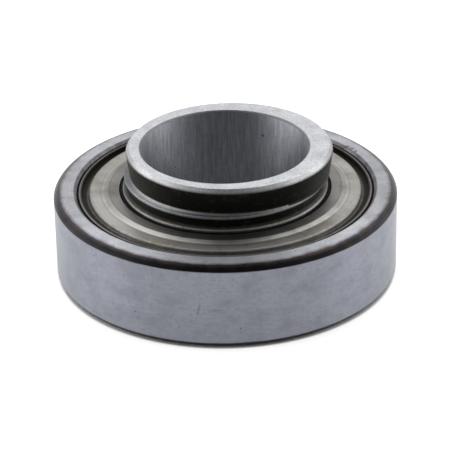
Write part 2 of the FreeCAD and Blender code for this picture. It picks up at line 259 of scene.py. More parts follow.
def nicks(tree, place, spots):
    # Dents and scratches: each is an ellipsoid round a place, with its half sizes and strength, and soft from
    # three tenths of the way to its edge.
    found = None
    for centre, halfSizes, strength in spots:
        away = addNode(tree, "ShaderNodeVectorMath", {0: place, 1: centre}, operation="SUBTRACT")
        away = addNode(tree, "ShaderNodeVectorMath", {0: away, 1: halfSizes}, operation="DIVIDE")
        reach = addNode(tree, "ShaderNodeVectorMath", {0: away}, operation="LENGTH")
        here = addNode(tree, "ShaderNodeMapRange", {
            "Value": reach, "From Min": 0.3, "To Min": strength, "To Max": 0.0})
        if found is not None:
            here = addNode(tree, "ShaderNodeMath", {0: found, 1: here}, operation="MAXIMUM")
        found = here
    return found


def heatScaleAndShade(tree, place, look):
    # The dark scale that hardening leaves where no wheel takes it off, also drawn as painted shade in the
    # outer ring's mouth and on a band of the inner ring's land: a grey tint at its edge, then darker, with
    # brown clouds.
    # Gives its colour and how much of the steel it covers.
    stain = ragged(tree, place, "scale", look["stainScale"], look["stainReach"], (0.0, 1.0))
    ramp = addNode(tree, "ShaderNodeValToRGB", {0: stain})
    stops = ramp.color_ramp.elements
    stops[0].position, stops[0].color = 0.2, linear(look["tint"])
    stops[1].position, stops[1].color = 0.95, linear(look["scaleDark"])
    stops.new(0.6).color = linear(look["scaleBrown"])
    clouds = addNode(tree, "ShaderNodeTexNoise", {
        "Vector": place, "Scale": look["burntScale"], "Detail": 4.0, "Roughness": 0.55})
    burnt = laidOver(tree, clouds, look["burntSpan"], 1.0, ramp, linear(look["burnt"]))
    burnt = laidOver(tree, stain, look["darkSpan"], 1.0, burnt, ramp)
    if look["crisp"]:
        edge = addNode(tree, "ShaderNodeAttribute", attribute_name="scale").outputs["Fac"]
    else:
        edge = stain
    bare, covered = look["coverSpan"]
    cover = addNode(tree, "ShaderNodeMapRange", {"Value": edge, "From Min": bare, "From Max": covered})
    return burnt, cover


# Finishes

def groundSteel(name, look):
    # Ground bearing steel: grinding lines that stretch the highlights across them, broad patches, a fine
    # grain, a few pits and dents, dark scale where no wheel reached, and painted shade, drawn as scale or as
    # a darker tone, in the outer ring's mouth and on the inner ring's land, ledge and bevels. The tangent
    # runs round the bearing, and its quarter turn spreads the light across the grooves.
    material, tree = newMaterial(name)
    place = inMillimetres(tree)
    if look["rings"]:
        along = fromAxis(tree, place)
    else:
        along = addNode(tree, "ShaderNodeVectorMath", {0: place, 1: look["lineStretch"]},
                        operation="MULTIPLY")
    broad = addNode(tree, "ShaderNodeVectorMath", {0: place, 1: look["patchStretch"]}, operation="MULTIPLY")
    lines = addNode(tree, "ShaderNodeTexNoise", {
        "Vector": along, "Scale": look["lineScale"], "Detail": 4.0, "Roughness": 0.65})
    patches = addNode(tree, "ShaderNodeTexNoise", {
        "Vector": broad, "Scale": look["patchScale"], "Detail": 3.0, "Roughness": 0.55})
    grain = addNode(tree, "ShaderNodeTexNoise", {
        "Vector": place, "Scale": look["grainScale"], "Detail": 4.0, "Roughness": 0.65})
    patchColour = linear(look["patch"])
    colour = laidOver(tree, lines, (0.3, 0.7), 1.0, linear(look["dull"]), linear(look["bright"]))
    colour = laidOver(tree, patches, (0.42, 0.72), look["patchDepth"], colour, patchColour)
    colour = laidOver(tree, grain, (0.5, 0.75), look["grainDepth"], colour, patchColour)
    # painted shade: the piece's tone darkens the inner ring's ledge, land and bevels
    colour = withPaintedShade(tree, colour)
    dents = addNode(tree, "ShaderNodeMath", {
        0: pits(tree, place, look["pitSpacing"], look["pitSize"], look["pitShare"]),
        1: nicks(tree, place, look["nicks"])}, operation="MAXIMUM")
    deep = addNode(tree, "ShaderNodeMath", {0: dents, 1: look["dentDark"]}, operation="MULTIPLY")
    colour = addNode(tree, "ShaderNodeMix", {"Factor": deep, "A": colour, "B": linear(look["dent"])},
                     data_type="RGBA")
    # the scale, and painted shade drawn as scale in the outer ring's mouth and on the inner ring's land
    burnt, cover = heatScaleAndShade(tree, place, look)
    colour = addNode(tree, "ShaderNodeMix", {"Factor": cover, "A": colour, "B": burnt}, data_type="RGBA")
    smoothest, roughest = look["rough"] - look["roughSpread"], look["rough"] + look["roughSpread"]
    rough = addNode(tree, "ShaderNodeMapRange", {"Value": lines, "From Min": 0.2, "From Max": 0.8,
                                                 "To Min": smoothest, "To Max": roughest})
    rough = addNode(tree, "ShaderNodeMix", {"Factor": cover, "A": rough, "B": look["scaleRough"]})
    metal = addNode(tree, "ShaderNodeMapRange", {"Value": cover, "To Min": 1.0, "To Max": look["scaleMetal"]})
    grainHeight = addNode(tree, "ShaderNodeMath", {0: grain, 1: look["grainDepth"]}, operation="MULTIPLY")
    dentHeight = addNode(tree, "ShaderNodeMath", {0: dents, 1: look["dentHeight"]}, operation="MULTIPLY")
    height = addNode(tree, "ShaderNodeMath", {0: lines, 1: grainHeight}, operation="ADD")
    height = addNode(tree, "ShaderNodeMath", {0: height, 1: dentHeight}, operation="SUBTRACT")
    bump = addNode(tree, "ShaderNodeBump", {"Height": height, "Strength": look["lineDepth"],
                                            "Distance": look["reliefSize"] * mm})
    grooves = addNode(tree, "ShaderNodeTangent", direction_type="RADIAL", axis="Z")
    shader = addNode(tree, "ShaderNodeBsdfPrincipled", {
        "Base Color": colour, "Metallic": metal, "Roughness": rough, "Normal": bump,
        "Anisotropic": look["brushed"], "Anisotropic Rotation": 0.25, "Tangent": grooves})
    addNode(tree, "ShaderNodeOutputMaterial", {"Surface": shader})
    return material


def sheetSteel(name, look):
    # Pressed steel sheet, zinc plated: fine rings, warm stains, grime with painted shade in the folds, and a
    # painted shade tone on the raised inner part and the rim.
    material, tree = newMaterial(name)
    place = inMillimetres(tree)
    rings = addNode(tree, "ShaderNodeTexNoise", {"Vector": fromAxis(tree, place), "Scale": look["ringScale"],
                                                 "Detail": 5.0, "Roughness": 0.7})
    stains = addNode(tree, "ShaderNodeTexNoise", {"Vector": place, "Scale": look["stainScale"], "Detail": 4.0,
                                                  "Roughness": 0.6})
    clumps = addNode(tree, "ShaderNodeTexNoise", {"Vector": place, "Scale": look["crumbScale"], "Detail": 3.0,
                                                  "Roughness": 0.55})
    colour = laidOver(tree, rings, (0.35, 0.65), 1.0, linear(look["dull"]), linear(look["bright"]))
    colour = laidOver(tree, stains, (0.45, 0.7), look["stainDepth"], colour, linear(look["stain"]))
    # near black grime with painted shade in the channel, under the sheet and at the lip's gap
    grime = ragged(tree, place, "dirt", look["grimeScale"], look["grimeReach"], look["grimeSpan"])
    broken = addNode(tree, "ShaderNodeMapRange", {"Value": clumps, "From Min": 0.48, "From Max": 0.56})
    crumbs = addNode(tree, "ShaderNodeMath", {0: nicks(tree, place, look["crumbs"]), 1: broken},
                     operation="MULTIPLY")
    colour = addNode(tree, "ShaderNodeMix", {"Factor": crumbs, "A": colour, "B": linear(look["crumb"])},
                     data_type="RGBA")
    # painted shade: the piece's tone darkens the raised inner part and the rim
    colour = withPaintedShade(tree, colour)
    colour = addNode(tree, "ShaderNodeMix", {"Factor": grime, "A": colour, "B": linear(look["grime"])},
                     data_type="RGBA")
    smoothest, roughest = look["rough"] - look["roughSpread"], look["rough"] + look["roughSpread"]
    rough = addNode(tree, "ShaderNodeMapRange", {"Value": rings, "From Min": 0.3, "From Max": 0.7,
                                                 "To Min": smoothest, "To Max": roughest})
    rough = addNode(tree, "ShaderNodeMix", {"Factor": grime, "A": rough, "B": look["grimeRough"]})
    crumbHeight = addNode(tree, "ShaderNodeMath", {0: crumbs, 1: look["crumbHeight"]}, operation="MULTIPLY")
    height = addNode(tree, "ShaderNodeMath", {0: rings, 1: crumbHeight}, operation="ADD")
    bump = addNode(tree, "ShaderNodeBump", {"Height": height, "Strength": look["ringDepth"],
                                            "Distance": look["reliefSize"] * mm})
    grooves = addNode(tree, "ShaderNodeTangent", direction_type="RADIAL", axis="Z")
    shader = addNode(tree, "ShaderNodeBsdfPrincipled", {
        "Base Color": colour, "Metallic": 1.0, "Roughness": rough, "Normal": bump,
        "Anisotropic": look["brushed"], "Anisotropic Rotation": 0.25, "Tangent": grooves})
    addNode(tree, "ShaderNodeOutputMaterial", {"Surface": shader})
    return material


def mouldedRubber(name, look):
    # Nitrile rubber, moulded in a steel tool: black, with almost no gloss and a fine grain.
    material, tree = newMaterial(name)
    place = inMillimetres(tree)
    grain = addNode(tree, "ShaderNodeTexNoise", {"Vector": place, "Scale": look["grainScale"], "Detail": 3.0,
                                                 "Roughness": 0.55})
    colour = addNode(tree, "ShaderNodeMix", {"Factor": grain, "A": linear(look["dull"]),
                                             "B": linear(look["bright"])}, data_type="RGBA")
    rough = addNode(tree, "ShaderNodeMapRange", {"Value": grain, "From Min": 0.2, "From Max": 0.8,
                                                 "To Min": look["smoothest"], "To Max": look["roughest"]})
    bump = addNode(tree, "ShaderNodeBump", {"Height": grain, "Strength": look["depth"],
                                            "Distance": look["reliefSize"] * mm})
    shader = addNode(tree, "ShaderNodeBsdfPrincipled", {
        "Base Color": colour, "Roughness": rough, "Normal": bump, "Specular IOR Level": look["gloss"]})
    addNode(tree, "ShaderNodeOutputMaterial", {"Surface": shader})
    return material


def plainSteel(name, look):
    # Steel of the pieces inside: a grain of two close greys, a thin film of oil in patches, little relief.
    material, tree = newMaterial(name)
    place = inMillimetres(tree)
    grain = addNode(tree, "ShaderNodeTexNoise", {"Vector": place, "Scale": look["grainScale"], "Detail": 4.0,
                                                 "Roughness": 0.6})
    film = addNode(tree, "ShaderNodeTexNoise", {
        "Vector": place, "Scale": look["filmScale"], "Detail": 3.0, "Roughness": 0.55})
    colour = addNode(tree, "ShaderNodeMix", {"Factor": grain, "A": linear(look["dull"]),
                                             "B": linear(look["bright"])}, data_type="RGBA")
    colour = laidOver(tree, film, (0.45, 0.7), look["filmDepth"], colour, linear(look["film"]))
    rough = addNode(tree, "ShaderNodeMapRange", {
        "Value": grain, "From Min": 0.2, "From Max": 0.8,
        "To Min": look["rough"] * 0.8, "To Max": look["rough"] * 1.2})
    bump = addNode(tree, "ShaderNodeBump", {"Height": grain, "Strength": look["depth"],
                                            "Distance": look["reliefSize"] * mm})
    shader = addNode(tree, "ShaderNodeBsdfPrincipled", {
        "Base Color": colour, "Metallic": 1.0, "Roughness": rough, "Normal": bump})
    addNode(tree, "ShaderNodeOutputMaterial", {"Surface": shader})
    return material


# dents, scratches and smudges, each by its place, its half sizes and its strength
outsideNicks = [
    ((2.2, -30.9, 4.0), (0.22, 1, 0.2), 0.8), ((-15.9, -26.6, 5.3), (0.25, 1, 0.25), 0.6),
    ((-8.3, -29.9, 3.9), (0.35, 1, 0.15), 0.4), ((-1.9, -30.9, 7.6), (1.2, 1, 0.35), 0.25),
    ((0.5, -31, 11), (0.3, 1, 0.15), 0.35), ((12, 28.6, 6), (0.2, 1, 0.3), 0.6),
    ((-20, 23.7, 9.5), (0.3, 1, 0.12), 0.5),
    # the slanting scratch at the front, a row of five
    *(((-4.7 - 0.125 * step, -30.6, 8.45 - 0.4 * step), (0.2, 1, 0.32), 0.5) for step in range(5))]
faceNicks = [
    ((-22.9, -13.9, 16), (0.55, 0.4, 0.6), 1.0), ((-22.3, -14.6, 16), (0.35, 0.25, 0.5), 1.0),
    ((22.9, 15.2, 15.9), (0.8, 0.7, 0.5), 0.8), ((23.7, 14.3, 15.9), (0.8, 0.7, 0.5), 0.8),
    ((24.3, 13.1, 15.9), (0.5, 0.8, 0.5), 0.8), ((-13.1, -26.7, 15.8), (0.25, 0.2, 0.6), 0.8),
    ((11.8, -25.7, 15.9), (0.2, 0.2, 0.6), 0.8)]
camNicks = [
    ((-2.9, -15.9, 23.2), (0.25, 0.6, 0.25), 0.9), ((-3.6, -16.4, 18.8), (0.2, 0.4, 0.3), 0.8),
    ((-7.4, -16.9, 16.6), (0.3, 0.4, 0.6), 0.8), ((-8.8, -13.2, 23.4), (0.3, 0.2, 0.2), 0.8),
    ((-10.5, -12.1, 23.5), (0.25, 0.2, 0.2), 0.7), ((-13.6, -8.0, 23.5), (0.25, 0.3, 0.2), 0.8),
    ((-7.3, -14.3, 23.4), (0.2, 0.15, 0.2), 0.7), ((-12.0, -10.6, 23.4), (0.2, 0.15, 0.2), 0.7)]
boreNicks = [((7.1, 13.2, 19.5), (0.3, 0.4, 0.32), 0.9), ((-9.2, 11.8, 14.0), (0.2, 0.4, 0.3), 0.6)]
sheetCrumbs = [
    ((-12.1, -20.7, 15.6), (1.3, 0.8, 0.6), 1.0), ((-11.0, -21.1, 15.6), (1.1, 0.8, 0.6), 1.0),
    ((-9.8, -21.9, 15.6), (1.0, 0.7, 0.6), 1.0)]

# A pattern's scale is in marks per millimetre. Real grinding lines are usually a few hundredths of a
# millimetre apart, too fine for this picture, so they are drawn 0.2 to 0.5 mm apart and the grain at 0.4 to
# 0.7 mm.
# A span says between which two values of a pattern it grows.

# The outside, ground between two wheels: an even blue grey with a soft sheen, and lines that run round it.
outsideLook = {
    "bright": "#8f919a", "dull": "#80828c", "patch": "#71737c", "rings": False,
    "lineStretch": (0.12, 0.12, 1.0), "lineScale": 5.0, "lineDepth": 0.4, "reliefSize": 0.02,
    "rough": 0.38, "roughSpread": 0.06, "brushed": 0.8,
    "patchStretch": (0.7, 0.7, 1.0), "patchScale": 0.35, "patchDepth": 0.6,
    "grainScale": 1.4, "grainDepth": 0.6,
    # one place in 67 has a pit, 0.22 mm in radius, and the places are 2 mm apart
    "pitSpacing": 2.0, "pitSize": 0.11, "pitShare": 0.015,
    "nicks": outsideNicks, "dent": "#1b1917", "dentDark": 0.85, "dentHeight": 3.0,
    "tint": "#77757e", "scaleBrown": "#33303a", "scaleDark": "#110f10", "burnt": "#3b322f", "burntScale": 0.3,
    "burntSpan": (0.42, 0.62), "darkSpan": (0.75, 1.0), "coverSpan": (0.05, 0.6), "crisp": False,
    "scaleRough": 0.34, "scaleMetal": 0.8, "stainScale": 0.45, "stainReach": 0.35}
# The end faces, ground flat: paler, with rings that spread the light outwards like spokes. The ring's mouth,
# in this steel, carries painted shade drawn as scale.
faceLook = {
    **outsideLook, "bright": "#c4c6ca", "dull": "#a2a4aa", "patch": "#95969b", "rings": True,
    "lineScale": 2.2, "lineDepth": 0.35, "rough": 0.42, "brushed": 0.85,
    "patchStretch": (1, 1, 1), "patchScale": 0.3, "patchDepth": 0.8,
    "grainScale": 2.6, "grainDepth": 1.0, "pitShare": 0.0, "nicks": faceNicks}
# The inner ring's top and cam, turned: a pale matt top, and black scale that ends crisply at the edges. The
# ledge, the land and the bevels carry painted shade as well.
camLook = {
    **faceLook, "bright": "#dddfe1", "dull": "#c3c5c9", "patch": "#8e9094", "nicks": camNicks, "rings": False,
    "lineStretch": (1, 1, 1), "rough": 0.42, "brushed": 0.25, "patchDepth": 0.35, "grainDepth": 0.8,
    "scaleBrown": "#33301f", "scaleDark": "#0c0b08", "tint": "#5c5950", "burnt": "#2c2a1b",
    "scaleRough": 0.42, "stainScale": 0.9, "stainReach": 0.75, "crisp": True}
# The bore, honed: grooves that run round it spread the light upright, so that it has broad soft bands, with
# faint upright streaks 0.4 mm apart over them.
boreLook = {
    **camLook, "bright": "#bfc1c8", "dull": "#8d8f96", "patch": "#7a7b81", "lineStretch": (1, 1, 0.08),
    "lineScale": 2.8, "lineDepth": 0.4, "rough": 0.52, "brushed": 0.92, "patchStretch": (1, 1, 0.1),
    "patchScale": 0.25, "grainScale": 1.6, "grainDepth": 0.4, "nicks": boreNicks}
# The caps, pressed from plated sheet: silvery with a warm cast, and black in the channel with painted shade
# and grime. Real press rings are finer than the picture shows, and these are drawn 0.4 mm apart.
sheetLook = {
    "bright": "#b9b7b3", "dull": "#8b8986", "ringScale": 2.6, "ringDepth": 0.35, "reliefSize": 0.03,
    "stain": "#79756a", "stainScale": 0.16, "stainDepth": 0.75,
    "grime": "#1a1813", "grimeScale": 1.3, "grimeReach": 0.3, "grimeSpan": (0.1, 0.95), "grimeRough": 0.6,
    "rough": 0.38, "roughSpread": 0.05, "brushed": 0.45,
    "crumbs": sheetCrumbs, "crumb": "#8f8660", "crumbScale": 3.0, "crumbHeight": 4.0}
# The lips, moulded: black and matt. A real grain is finer than the picture shows. This is drawn at 0.3 mm.
rubberLook = {"dull": "#050505", "bright": "#0e0e0d", "grainScale": 3.0, "depth": 0.3, "reliefSize": 0.03,
              "smoothest": 0.6, "roughest": 0.75, "gloss": 0.15}
# The pieces inside. Their grain is drawn at 0.3 to 1 mm, coarser than a real one, and the film of oil lies
# in patches 4 mm across.
# balls, lapped: a mirror with hardly any grain
ballLook = {
    "bright": "#d6d7da", "dull": "#cccdd1", "film": "#b9b8b2", "filmScale": 0.25, "filmDepth": 0.5,
    "rough": 0.07, "grainScale": 1.0, "depth": 0.05, "reliefSize": 0.02}
# cage ribbons, stamped from strip: dull and a little yellow with oil
ribbonLook = {
    **ballLook, "bright": "#a9a6a0", "dull": "#8c8983", "film": "#7a715f", "rough": 0.36, "grainScale": 1.8,
    "depth": 0.5}
# rivets, tumbled: a little brighter, with a fine grain
rivetLook = {
    **ballLook, "bright": "#b4b4b3", "dull": "#969694", "film": "#827b6b", "rough": 0.3, "grainScale": 3.0,
    "depth": 0.6}
# washers, punched from rolled sheet: dull and flat
washerLook = {
    **ballLook, "bright": "#adaba6", "dull": "#95928c", "film": "#7d745f", "rough": 0.32, "grainScale": 1.2,
    "depth": 0.3}

outsideSteel = groundSteel("centrelessGroundSteel", outsideLook)
faceSteel = groundSteel("surfaceGroundSteel", faceLook)
camSteel = groundSteel("turnedAndScaledSteel", camLook)
boreSteel = groundSteel("honedBoreSteel", boreLook)
sealSheet = sheetSteel("pressedZincSheet", sheetLook)
sealRubber = mouldedRubber("mouldedNitrileRubber", rubberLook)
ballSteel = plainSteel("lappedBallSteel", ballLook)
cageSteel = plainSteel("stampedRibbonSteel", ribbonLook)
rivetSteel = plainSteel("tumbledRivetSteel", rivetLook)
washerSteel = plainSteel("rolledWasherSteel", washerLook)
print("finishes are mixed")


# Turned surfaces

# a rounding has a point every 12 degrees and at least 4
arcStep, fewestPoints = 12, 4


def outlineRows(corners, spacing):
    # A closed outline of corners (radius, height, rounding, offset) as rows of points.
    # A rounded corner is an arc tangent to both its sides: the tangent points lie
    # rounding / tan(angle between the sides / 2) from the corner, and the points between are turned about the
    # arc's centre. Straight stretches are divided so that no step is longer than the spacing.
    radius, height, rounding, offset = (np.array(column, float) for column in zip(*corners))
    spot = np.stack([radius, height], axis=1)
    arcs = []
    for at in range(len(corners)):
        here, before, after = spot[at], spot[at - 1], spot[(at + 1) % len(corners)]
        back, ahead = before - here, after - here
        back, ahead = back / np.linalg.norm(back), ahead / np.linalg.norm(ahead)
        if rounding[at] == 0:
            arcs.append(here[None, :])
            continue
        between = math.acos(np.clip(back @ ahead, -1, 1))
        reach = rounding[at] / math.tan(between / 2)
        centre = here + (back + ahead) / np.linalg.norm(back + ahead) * rounding[at] / math.sin(between / 2)
        start, end = here + back * reach - centre, here + ahead * reach - centre
        first = math.atan2(start[1], start[0])
        turn = (math.atan2(end[1], end[0]) - first + math.pi) % (2 * math.pi) - math.pi
        points = max(fewestPoints, int(abs(turn) / math.radians(arcStep)) + 2)
        angles = first + turn * np.linspace(0, 1, points)
        arcs.append(centre + rounding[at] * np.stack([np.cos(angles), np.sin(angles)], axis=1))
    rows, offsets = [], []
    for at, arc in enumerate(arcs):
        following = (at + 1) % len(arcs)
        rows.append(arc)
        offsets.append(np.full(len(arc), offset[at]))
        gap = arcs[following][0] - arc[-1]
        cuts = int(np.linalg.norm(gap) / spacing)
        share = np.arange(1, cuts + 1)[:, None] / (cuts + 1)
        rows.append(arc[-1] + gap * share)
        offsets.append((offset[at] + (offset[following] - offset[at]) * share)[:, 0])
    return np.concatenate(rows), np.concatenate(offsets)


def turned(outline, offsets, turns, direction=0.0):
    # Carries the outline round the Z axis: each row is a circle, its centre moved by its offset.
    angles = np.linspace(0, 2 * math.pi, turns, endpoint=False)
    x = offsets[:, None] * math.cos(direction) + outline[:, :1] * np.cos(angles)
    y = offsets[:, None] * math.sin(direction) + outline[:, :1] * np.sin(angles)
    z = np.repeat(outline[:, 1:], turns, axis=1)
    return np.stack([x, y, z], axis=-1)


def ringMesh(name, spots, materials, zones, layers):
    # A closed grid of rows and turns: spots is rows x turns x 3 in millimetres, and both ways wrap round.
    # zones gives each row of faces its material, and layers are values at the points that a finish reads.
    rows, turns = spots.shape[:2]
    row, turn = np.meshgrid(np.arange(rows), np.arange(turns), indexing="ij")
    nextRow, nextTurn = (row + 1) % rows, (turn + 1) % turns
    faces = np.stack([row * turns + turn, row * turns + nextTurn,
                      nextRow * turns + nextTurn, nextRow * turns + turn], axis=-1).reshape(-1, 4)
    mesh = bpy.data.meshes.new(name)
    mesh.from_pydata((spots * mm).reshape(-1, 3), [], faces.tolist())
    mesh.polygons.foreach_set("use_smooth", np.ones(len(faces), bool))
    for material in materials:
        mesh.materials.append(material)
    mesh.polygons.foreach_set("material_index", np.repeat(np.asarray(zones, np.int32), turns))
    for word, values in layers.items():
        values = np.ascontiguousarray(np.broadcast_to(values, (rows, turns)), np.float32).ravel()
        mesh.attributes.new(word, "FLOAT", "POINT").data.foreach_set("value", values)
    mesh.validate()
    piece = bpy.data.objects.new(name, mesh)
    bpy.context.scene.collection.objects.link(piece)
    return piece


def smooth(value, low, high):
    # 0 below low, 1 above high and an even ramp between
    return np.clip((value - low) / (high - low), 0, 1)


def finishPiece(piece, body, slot, *nodes):
    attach(piece, body)
    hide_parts(*nodes)


def arcOfRace(middleRadius, grooveRadius, shoulderRadius, steps):
    # Points of a ball groove's arc between its two shoulders, from its lower end to its upper end: a circle
    # of the groove's radius about a point at the ring's half height. With a negative radius it bends inwards.
    reach = math.acos((shoulderRadius - middleRadius) / abs(grooveRadius) * math.copysign(1, grooveRadius))
    bend = np.linspace(-reach, reach, steps)
    return middleRadius + grooveRadius * np.cos(bend), ringWidth / 2 + abs(grooveRadius) * np.sin(bend)


# Outer ring

outerRing = {
    "mouth": 26.85, "mouthDepth": 1.05, "mouthChamfer": 0.45, "groove": 27.2, "seatDepth": 1.85,
    "shoulder": 26.0, "cornerRadial": 1.75, "cornerAxial": 1.05, "cornerSteps": 16,
    "race": 27.7925, "raceGroove": 5.0025, "raceSteps": 24, "turns": 480, "spacing": 0.7,
    # rows close beside the corner and beside the mouth, so that a layer can end there
    "sideRow": 0.25, "faceRow": 0.2,
    # where the scale of the corner starts and where it is whole, how far it fades at the side, and how much
    # painted shade, drawn as scale, lies in the mouth
    "scaleStart": 29.1, "scaleWhole": 30.6, "scaleFade": 0.04, "mouthScale": 0.5, "mouthFade": 0.1,
}


def cornerArc(radial, axial, steps):
    # An arc that leaves the face smoothly and ends at the outside. Its radius is
    # (radial^2 + axial^2) / (2 axial).
    size = (radial ** 2 + axial ** 2) / (2 * axial)
    tilt = np.linspace(0, math.asin(radial / size), steps)
    return outsideRadius - radial + size * np.sin(tilt), size - size * np.cos(tilt)


def makeOuterRing():
    # One profile carried round the axis: the lower side from the seal's seat to the corner, the straight
    # outside, the upper side, which is the lower one mirrored at half height, and the race's arc back.
    size = outerRing
    side, chamferEnd, fade = size["cornerAxial"], size["mouth"] + size["mouthChamfer"], size["mouthFade"]
    raceRadii, raceHeights = arcOfRace(size["race"] - size["raceGroove"], size["raceGroove"],
                                       size["shoulder"], size["raceSteps"])
    radii, depths = cornerArc(size["cornerRadial"], side, size["cornerSteps"])
    corner = [(radius, depth, 0, 0) for radius, depth in zip(radii[:-1], depths[:-1])]
    corner += [(outsideRadius, side, 0.05, 0), (outsideRadius, side + size["sideRow"], 0, 0)]
    lower = [
        (size["shoulder"], size["seatDepth"], 0.08, 0), (size["groove"], size["seatDepth"], 0.08, 0),
        (size["groove"], size["mouthDepth"], 0.06, 0), (size["mouth"], size["mouthDepth"], 0.06, 0),
        (size["mouth"], size["mouthChamfer"], 0.1, 0), (chamferEnd, 0, 0.06, 0),
        (chamferEnd + size["faceRow"], 0, 0, 0), *corner,
    ]
    upper = [(radius, ringWidth - height, rounding, 0) for radius, height, rounding, _ in lower[::-1]]
    race = [(radius, height, 0, 0) for radius, height in zip(raceRadii[::-1], raceHeights[::-1])]
    outline, offsets = outlineRows(lower + upper + race, size["spacing"])
    spots = turned(outline, offsets, size["turns"])
    # the scale is the same all round, and lies on the corner between the ground face and the ground outside
    radius, depth = outline[:, :1], np.minimum(outline[:, 1:], ringWidth - outline[:, 1:])
    scale = smooth(radius, size["scaleStart"], size["scaleWhole"])
    scale = scale * (1 - smooth(depth, side, side + size["scaleFade"]))
    # painted shade in the mouth and the seal's seat, out to the chamfer, drawn as scale at half cover
    mouth = smooth(radius, size["shoulder"] - fade, size["shoulder"])
    mouth = mouth * (1 - smooth(radius, chamferEnd + fade / 2, chamferEnd + fade * 3 / 2))
    scale = np.maximum(scale, mouth * size["mouthScale"])
    # the straight outside has its own steel, and all other rows that of the faces
    middle = (outline + np.roll(outline, -1, axis=0)) / 2
    deep = np.minimum(middle[:, 1], ringWidth - middle[:, 1])
    zones = np.where((middle[:, 0] > outsideRadius - 0.05) & (deep > side - 0.02), 0, 1)
    piece = ringMesh("outerRing", spots, [outsideSteel, faceSteel], zones, {"scale": scale, "tone": 1.0})
    finishPiece(piece, "outer", "outer_ring_steel", "outer_ring")


# Inner ring

innerRing = {
    "race": 18.2075, "raceGroove": 4.9325, "raceSteps": 24, "shoulder": 20.1, "landDepth": 2.9, "land": 18.5,
    "endChamfer": 0.25, "landTop": 16.25, "neck": 17.85, "neckLow": 16.85, "neckHigh": 18.3, "ledge": 18.2,
    "ledgeTop": 18.85, "ledgeChamfer": 0.25, "cam": 18.6, "camUndercut": 0.55, "camOffset": 1.0,
    "camAngle": 33.0, "camChamferRadial": 0.65, "camChamferAxial": 0.85, "boreChamfer": 0.3,
    "turns": 440, "spacing": 0.7,
    # a row close beside the bore's chamfers, so that the painted shade of the bore's bevel ends there
    "faceRow": 0.12,
    # the scale lies on the neck and the cam's flank, and painted shade drawn as scale on a band of the land
    # beside the seal's gap: where it starts, and where it ends
    "boreWall": (1.5, 1.6), "neckFrom": (0.1, 0.4), "neckTo": 0.05, "flankFrom": (0.02, 0.06),
    "flankTo": 0.04, "bandFrom": (13.0, 13.1), "bandTo": (0.2, 0.1),
    # the ledge, the land and the bevels are darker than the top, the same all round: painted shade on the
    # ledge under the cam, on the land at the seal's gap, and on the bevels, where it dims their highlights
    "ledgeTone": 0.32, "landTone": 0.36, "bevelTone": 0.62, "boreBevelTone": 0.3,
}


